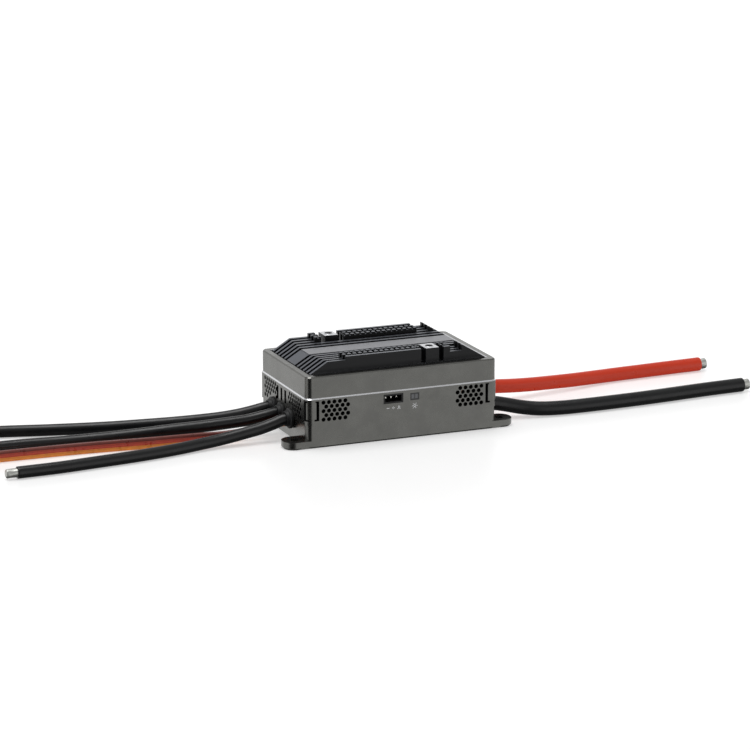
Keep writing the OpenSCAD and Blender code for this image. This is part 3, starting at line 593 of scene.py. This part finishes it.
class CONTROLLER_OT_stage(bpy.types.Operator):
    """Camera, light table, white room and the softbox overhead"""

    bl_idname = "controller.stage"
    bl_label = "Stage"

    def execute(self, context):
        look = context.scene.controller_stage
        camera = bpy.data.objects.new("camera", bpy.data.cameras.new("camera"))
        context.scene.collection.objects.link(camera)
        camera.location, camera.rotation_euler = look.camera_at, look.turn
        camera.data.lens = look.lens
        camera.data.sensor_width = 36
        camera.data.clip_start, camera.data.clip_end = 0.05, 50
        context.scene.camera = camera
        context.scene.view_settings.view_transform = "Standard"

        reach = 8.0
        floor = mesh_from("floor", [(-reach, -reach, 0), (reach, -reach, 0),
                                    (reach, reach, 0), (-reach, reach, 0)], [(0, 1, 2, 3)])
        floor.data.materials.append(lit_acrylic("white_acrylic", "#c8c8c8", look.table))

        # Table reflections come from the room alone, as if the object stood on a clear shelf
        floor.visible_glossy = False
        self.room(context, look)

        sun = bpy.data.lights.new("overhead_softbox", "SUN")
        sun.energy, sun.angle = look.top_light, math.radians(40)
        overhead = bpy.data.objects.new("overhead_softbox", sun)
        context.scene.collection.objects.link(overhead)
        overhead.rotation_euler = Vector((0.08, -0.1, -1)).to_track_quat("-Z", "Y").to_euler()
        return {"FINISHED"}

    def room(self, context, look):
        """White walls at object height, a dim floor side, and a dark gap to the front left."""
        world = bpy.data.worlds.new("white_room")
        context.scene.world = world
        world.use_nodes = True
        tree = world.node_tree
        # The way a ray looks, from -1 to 1 along each axis
        way = add(tree, "TexCoord").outputs["Generated"]
        height = add(tree, "SeparateXYZ", {"Vector": way}).outputs["Z"]
        walls = ramp(tree, add(tree, "MapRange", {"Value": height}, From_Min=-1.0).outputs[0],
                     [(0.0, 0.10), (0.27, 0.2), (0.34, 1.0), (0.66, 1.0), (0.76, 0.4), (1.0, 0.5)])
        turned = add(tree, "VectorMath", {0: way}, operation="DOT_PRODUCT")
        turned.inputs[1].default_value = (-0.53, -0.848, 0)
        gap = ramp(tree, turned.outputs["Value"], [(0.74, 1.0), (0.87, 0.03)])
        both = add(tree, "Mix", data_type="RGBA", blend_type="MULTIPLY")
        both.inputs[0].default_value = 1.0
        tree.links.new(walls, both.inputs[6])
        tree.links.new(gap, both.inputs[7])
        sky = tree.nodes["Background"]
        tree.links.new(both.outputs[2], sky.inputs["Color"])
        sky.inputs["Strength"].default_value = look.sky


# ---- Wires ----

def power_wire(name, route, d, finish, tip_d, tip_l, tin):
    """A silicone wire with its tinned end.

    The insulation is a circle of radius d / 2 carried along the route. Over its last stretch,
    LIP long, the radius falls as a quarter circle, and a last, smaller ring closes it.
    """
    centres, along = smooth_route(route, RING_STEP)
    ahead = directions(centres, (0, 0, 1))[0][-1]
    end, end_at = centres[-1], along[-1]
    lip_at, past = end_at - LIP, 1e-5
    turn = np.linspace(0, np.pi / 2, 5)[1:]
    # Rings nearer than 0.2 mm to the rounding are left out
    keep = along < lip_at - 0.0002
    centres = np.vstack([centres[keep], end - ahead * LIP, end - ahead * LIP
                         + np.sin(turn)[:, None] * LIP * ahead, end + ahead * past])
    along = np.concatenate([along[keep], [lip_at], lip_at + np.sin(turn) * LIP,
                            [end_at + past]])
    radii = np.concatenate([np.full(keep.sum() + 1, d / 2), d / 2 - LIP * (1 - np.cos(turn)),
                            [tip_d / 2 - SKIN]])
    wire = swept(name + "_insulation", centres, round_sections(radii, WIRE_SIDES), along)
    finish_piece(wire, [finish], replaced=[name])

    # The tinned strands: a bundle of ridges that turns slowly, with a domed, uneven end. The
    # radius is R fall (1 - 0.05 (1 - |cos|)) (1 + uneven sin 3t), where the cosine has a
    # peak on each ridge and fall is the cosine of the angle on the dome
    sides, uneven, rows = 4 * RIDGES, 0.03, 12
    bend = np.linspace(0, np.pi / 2, 6)[1:]
    s = np.concatenate([np.linspace(-DOME, tip_l - DOME, rows),
                        tip_l - DOME + DOME * np.sin(bend)])
    fall = np.concatenate([np.ones(rows), np.cos(bend * 0.86)])
    t = np.arange(sides) * 2 * np.pi / sides
    ridge = 1 - 0.05 * (1 - np.abs(np.cos(RIDGES / 2 * (t[None, :] - 180 * s[:, None]))))
    bulge = 1 + uneven * np.sin(3 * t[None, :] + 900 * s[:, None])
    r = (tip_d / 2 / (1 + uneven)) * fall[:, None] * ridge * bulge
    sections = np.stack([r * np.cos(t), r * np.sin(t)], axis=-1)
    strands = swept(name + "_tinned_end", end + s[:, None] * ahead, sections, s)
    finish_piece(strands, [tin],
                 replaced=[name.replace("_wire", "_tip")])


class CONTROLLER_OT_power_wires(bpy.types.Operator):
    """Three motor wires and two battery wires with tinned ends"""

    bl_idname = "controller.power_wires"
    bl_label = "Power wires"

    def execute(self, context):
        look = context.scene.controller_wires
        black = silicone("silicone_black", look.black)
        red = silicone("silicone_red", look.red, 0.32, 0.02)
        tin = plain_metal("solder_tinned_strands", "#c3c4bf", 0.36, 0.25)
        for name, route in MOTOR_ROUTES.items():
            power_wire(name, route, look.motor_d, black, look.motor_tip_d, 0.005, tin)
        for name, route in BATTERY_ROUTES.items():
            finish = red if name.endswith("red") else black
            power_wire(name, route, look.battery_d, finish, look.battery_tip_d, 0.0035, tin)
        return {"FINISHED"}


def lead_section(core_d):
    """Outline of three round cores side by side, fused by webs.

    Each core is a circle of radius r. The circles' centres are 2r apart, and the arcs stop
    where they are 0.59 r from the middle plane. Returns the corners and each side's core.
    """
    r = core_d / 2
    wide = math.radians(36)
    right = np.linspace(-np.pi + wide, np.pi - wide, 15)
    top = np.linspace(wide, np.pi - wide, 7)
    parts = [(2 * r, right, 0), (0, top, 1), (-2 * r, right + np.pi, 2), (0, top + np.pi, 1)]
    corners = np.vstack([np.column_stack([x + r * np.cos(t), r * np.sin(t)])
                         for x, t, _ in parts])
    return corners, np.concatenate([np.full(len(t), core) for _, t, core in parts])


class CONTROLLER_OT_signal_lead(bpy.types.Operator):
    """Three-core signal lead on edge, with its loop and plug"""

    bl_idname = "controller.signal_lead"
    bl_label = "Signal lead"

    def execute(self, context):
        look = context.scene.controller_wires
        line, _ = smooth_route(SIGNAL_ROUTE, LEAD_STEP)
        # Three quarters of a circle, from its foot round to its right
        t = np.linspace(-np.pi / 2, -2 * np.pi, LOOP_RINGS)[1:]
        ring = np.column_stack([LOOP_CENTRE[0] + LOOP_R * np.cos(t),
                                LOOP_CENTRE[1] + LOOP_R * np.sin(t),
                                np.full(len(t), SIGNAL_ROUTE[-1][2])])
        centres = np.vstack([line, ring])
        along = np.concatenate([[0], np.cumsum(np.linalg.norm(np.diff(centres, axis=0), axis=1))])
        corners, cores = lead_section(look.core_d)
        on_edge = np.column_stack([-corners[:, 1], corners[:, 0]])
        sections = np.repeat(on_edge[None], len(centres), axis=0)
        lead = swept("signal_lead", centres, sections, along, columns=cores)
        finish_piece(lead, [vinyl("vinyl_brown", "#6b2c22"), vinyl("vinyl_red", "#b03a26"),
                            vinyl("vinyl_orange", "#e08430")],
                     replaced=["signal_cable", "signal_loop"])
        plug = softened("signal_plug", "signal_plug_shell", 0.18)
        finish_piece(plug, [moulded("nylon_black", "#141416", 0.45)],
                     replaced=["signal_plug"])
        return {"FINISHED"}


# ---- Case and heatsink ----

def index_faces(piece, slot, low, high, steep):
    """Gives slot to the faces whose centre lies in a box and whose normal's z is in steep."""
    mesh = piece.data
    count = len(mesh.polygons)
    centre, normal = np.empty(count * 3), np.empty(count * 3)
    mesh.polygons.foreach_get("center", centre)
    mesh.polygons.foreach_get("normal", normal)
    centre, z = centre.reshape(-1, 3), normal.reshape(-1, 3)[:, 2]
    inside = np.all((centre >= low) & (centre <= high), axis=1) & (z > steep[0]) & (z < steep[1])
    slots = np.empty(count, np.int32)
    mesh.polygons.foreach_get("material_index", slots)
    slots[inside] = slot
    mesh.polygons.foreach_set("material_index", slots)


class CONTROLLER_OT_case(bpy.types.Operator):
    """Base with its vent band, and the cover with its rim"""

    bl_idname = "controller.case"
    bl_label = "Case"

    def execute(self, context):
        look = context.scene.controller_case
        grey = blasted_aluminium("anodised_grey", look.case_colour)
        bright = cut_chamfer("cut_chamfer")
        # Near-black painted shade for the hollow of the case and the walls of its vents and slots,
        # which are the case's grey anodising too
        inside = moulded("painted_shade_inside", "#0b0b0c", 0.85)
        base = softened("lower_case", "case_base", look.case_edge / MM)
        finish_piece(base, [grey, bright, inside], replaced=["lower_case"])
        # The cavity, and the walls of the vents and slots in the band, take the near-black painted
        # shade
        index_faces(base, 2, *CAVITY, ANY_WAY)
        for x, y in BAND_BOXES:
            index_faces(base, 2, [-x, -y, BAND_LOW], [x, y, BAND_HIGH], ANY_WAY)
        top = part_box("lower_case")[1][2]
        index_faces(base, 1, [-1, -1, top - CHAMFER_HIGH], [1, 1, top + SLACK], CHAMFER)
        cover = softened("cover", "case_cover", look.case_edge / MM)
        finish_piece(cover, [grey, bright], replaced=["cover"])
        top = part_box("cover")[1][2]
        x, y = RIM_HALF
        index_faces(cover, 1, [-x, -y, top - CHAMFER_HIGH], [x, y, top + SLACK], CHAMFER)
        return {"FINISHED"}


class CONTROLLER_OT_heatsink(bpy.types.Operator):
    """Finned heatsink, its plate and the fan holes"""

    bl_idname = "controller.heatsink"
    bl_label = "Heatsink"

    def execute(self, context):
        look = context.scene.controller_case
        black = black_anodised("anodised_black", look.sink_colour, 0.4, 0.3)
        # Pale metal for the fins' bevelled edges: partly rubbed anodising, partly a painted
        # highlight where the edges catch the light from above
        edge = black_anodised("rubbed_edge_and_highlight", "#666970", 0.35, 0.85)
        sink = softened("heatsink", "heatsink_fins", look.sink_edge / MM, 1, edge_slot=1)
        finish_piece(sink, [black, edge], replaced=["heatsink"])
        finish_node("top_plate", brushed_plate("brushed_plate", "#8f9094"))
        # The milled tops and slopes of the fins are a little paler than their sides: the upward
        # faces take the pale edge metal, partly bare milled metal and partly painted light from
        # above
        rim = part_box("cover")[1][2]
        index_faces(sink, 1, [-1, -1, rim + 2 * SLACK], [1, 1, 1], FACING_UP)
        faced = plain_metal("faced_aluminium", "#e2e3e6", 0.3)
        sink.data.materials.append(faced)
        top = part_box("heatsink")[1][2]
        long, wide = BOSS_HALF
        for x, y in FAN_BOSSES:
            index_faces(sink, 2, [x - long, y - wide, top - SLACK],
                        [x + long, y + wide, top + SLACK], LEVEL)
        # Near-black painted shade down the bores of the inserts
        bore = moulded("painted_shade_bore", "#0c0c0d", 0.7)
        for number, (x, y) in enumerate(FAN_BOSSES):
            sleeve = threaded_sleeve(f"fan_insert_{number}", x, y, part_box("fan_inserts"))
            finish_piece(sleeve, [faced, bore], replaced=["fan_inserts"])
        return {"FINISHED"}


def threaded_sleeve(name, x, y, box):
    """A threaded insert: its profile turned about an upright line through (x, y).

    The profile goes from the outside foot up to the rim, in over a 45 degree countersink,
    and down the bore, whose radius is bore + deep |sin| of the height, one wave each pitch.
    """
    low, high = box[0][2], box[1][2]
    outer, bore, mouth, edge = 0.0022, 0.00125, 0.0017, 0.0001
    pitch, deep, sides = 0.0005, 0.00009, 40
    z = np.linspace(high - (mouth - bore), low, 61)
    thread = bore + deep * np.abs(np.sin(np.pi * (high - z) / pitch))
    profile = np.vstack([[(outer, low), (outer, high - edge), (outer - edge, high),
                          (mouth, high)], np.column_stack([thread, z])])
    t = np.arange(sides) * 2 * np.pi / sides
    verts = np.stack([x + profile[:, None, 0] * np.cos(t), y + profile[:, None, 0] * np.sin(t),
                      np.repeat(profile[:, 1:], sides, axis=1)], axis=-1).reshape(-1, 3)
    n = len(profile)
    i, k = np.meshgrid(np.arange(n), np.arange(sides), indexing="ij")
    j, after = (k + 1) % sides, (i + 1) % n
    faces = np.stack([i * sides + k, i * sides + j, after * sides + j, after * sides + k],
                     axis=-1)
    # From the mouth inwards the faces take the bore's finish, a near-black painted shade
    slots = np.repeat((np.arange(n) >= 3).astype(int), sides)
    return mesh_from(name, verts, faces.reshape(-1, 4).tolist(), slots=slots)


def finish_node(node, finish):
    """Gives a CAD node's object its material."""
    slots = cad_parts[node].data.materials
    slots.clear()
    slots.append(finish)


class CONTROLLER_OT_seals(bpy.types.Operator):
    """Rubber sleeves where the wires leave the case"""

    bl_idname = "controller.seals"
    bl_label = "Rubber sleeves"

    def execute(self, context):
        rubber = moulded("rubber_black", "#121315", 0.55, 0.4)
        for node in ("motor_grommets", "battery_grommets"):
            piece = softened(node, node.replace("grommets", "sleeves"), 0.15, 3)
            finish_piece(piece, [rubber], replaced=[node])
        finish_node("cable_grommet", rubber)
        return {"FINISHED"}


class CONTROLLER_OT_port(bpy.types.Operator):
    """Programming port, light window and what is behind them"""

    bl_idname = "controller.port"
    bl_label = "Port and light"

    def execute(self, context):
        finish_node("port_housing", moulded("port_black", "#0e0e10", 0.5))
        finish_node("port_pins", pin_metal("tin_plate", "#c9c8c2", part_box("port_pins")[0][1]))
        finish_node("plug_contacts", plain_metal("gold_contacts", "#c9a652", 0.25, 0.3))
        finish_node("status_light", moulded("clear_epoxy", "#c9d2c4", 0.2))
        finish_node("light_window", smoky_window("frosted_window", "#3c3d3f",
                                                 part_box("light_window")))
        return {"FINISHED"}


class CONTROLLER_OT_inside(bpy.types.Operator):
    """Boards, transistors, capacitors and screws inside the case"""

    bl_idname = "controller.inside"
    bl_label = "Electronics"

    def execute(self, context):
        board = solder_mask("solder_mask", "#173a26")
        chip = moulded("epoxy_black", "#1b1b1d", 0.6)
        copper = plain_metal("copper_bar", "#b87345", 0.35)
        for node, finish in {
            "power_board": board, "control_board": board, "mosfets": chip,
            "microcontroller": chip, "board_link": chip,
            "inductor": moulded("ferrite_grey", "#4b4b4f", 0.65),
            "thermal_pad": moulded("silicone_pad", "#aab4be", 0.7),
            "capacitors": moulded("sleeve_film", "#232733", 0.25, 2.0, 0.05),
            "board_spacers": plain_metal("turned_brass", "#c8a55a", 0.3),
            "case_screws": plain_metal("black_oxide", "#3a3a3d", 0.4),
            "motor_terminals": copper, "battery_terminals": copper,
        }.items():
            finish_node(node, finish)
        return {"FINISHED"}


class CONTROLLER_OT_marks(bpy.types.Operator):
    """Printed minus, plus and pulse under the port, and a lamp sign under the window"""

    bl_idname = "controller.marks"
    bl_label = "Printed marks"

    def execute(self, context):
        ink = moulded("white_ink", "#cfd0d2", 0.6, 0.2)
        pins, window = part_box("port_pins"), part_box("light_window")
        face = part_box("lower_case")[0][1]
        x0, x1 = (pins[0][0] + pins[1][0]) / 2, (window[0][0] + window[1][0]) / 2
        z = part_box("port_housing")[0][2] - MARK_DROP
        t = np.linspace(0, 2 * np.pi, 25)
        strokes = [
            [(x0 - 0.0032, z), (x0 - 0.0019, z)],
            [(x0 - 0.00065, z), (x0 + 0.00065, z)], [(x0, z - 0.00065), (x0, z + 0.00065)],
            [(x0 + 0.0018, z - 0.0005), (x0 + 0.0023, z - 0.0005), (x0 + 0.0023, z + 0.0006),
             (x0 + 0.0029, z + 0.0006), (x0 + 0.0029, z - 0.0005), (x0 + 0.0034, z - 0.0005)],
            [(x1 + 0.0005 * math.cos(a), z + 0.0005 * math.sin(a)) for a in t],
        ]
        strokes += [[(x1 + r * math.cos(a), z + r * math.sin(a)) for r in (0.00085, 0.0013)]
                    for a in t[:-1:4]]
        for number, stroke in enumerate(strokes):
            mark = printed_stroke(f"mark_{number:02d}", stroke, face, INK_HALF)
            finish_piece(mark, [ink])
        return {"FINISHED"}


def printed_stroke(name, stroke, face, half):
    """A line of ink carried along the stroke.

    Its section is a trapezium, 2 half wide at its foot, that stands INK_HIGH above the face
    and reaches as far into it. Each straight piece is cut into six.
    """
    points = np.array([(x, face, z) for x, z in stroke])
    fine = np.linspace(0, len(points) - 1, 6 * (len(points) - 1) + 1)
    centres = np.column_stack([np.interp(fine, np.arange(len(points)), c) for c in points.T])
    along = np.concatenate([[0], np.cumsum(np.linalg.norm(np.diff(centres, axis=0), axis=1))])
    outline = np.array([(half, -INK_HIGH), (half * 0.9, INK_HIGH), (-half * 0.9, INK_HIGH),
                        (-half, -INK_HIGH)])
    sections = np.repeat(outline[None], len(centres), axis=0)
    return swept(name, centres, sections, along, up=(0, -1, 0))


# ---- Panel ----

OPERATORS = (
    CONTROLLER_OT_stage, CONTROLLER_OT_power_wires, CONTROLLER_OT_signal_lead,
    CONTROLLER_OT_case, CONTROLLER_OT_heatsink, CONTROLLER_OT_seals, CONTROLLER_OT_port,
    CONTROLLER_OT_inside, CONTROLLER_OT_marks,
)


class CONTROLLER_PT_build(bpy.types.Panel):
    """Settings and steps of the controller"""

    bl_label = "Speed controller"
    bl_idname = "CONTROLLER_PT_build"
    bl_space_type = "VIEW_3D"
    bl_region_type = "UI"
    bl_category = "Controller"

    def draw(self, context):
        for group in ("controller_case", "controller_wires", "controller_stage"):
            settings = getattr(context.scene, group)
            column = self.layout.box().column(align=True)
            for key in settings.__annotations__:
                column.prop(settings, key)
        for operator in OPERATORS:
            self.layout.operator(operator.bl_idname)


GROUPS = {"controller_case": ControllerCase, "controller_wires": ControllerWires,
          "controller_stage": ControllerStage}


def register():
    for group in (*GROUPS.values(), *OPERATORS, CONTROLLER_PT_build):
        bpy.utils.register_class(group)
    for name, group in GROUPS.items():
        setattr(bpy.types.Scene, name, PointerProperty(type=group))


def unregister():
    for name in GROUPS:
        delattr(bpy.types.Scene, name)
    for group in (CONTROLLER_PT_build, *reversed(OPERATORS), *GROUPS.values()):
        bpy.utils.unregister_class(group)


def main():
    register()
    for operator in OPERATORS:
        area, name = operator.bl_idname.split(".")
        getattr(getattr(bpy.ops, area), name)()


if __name__ == "__main__":
    main()
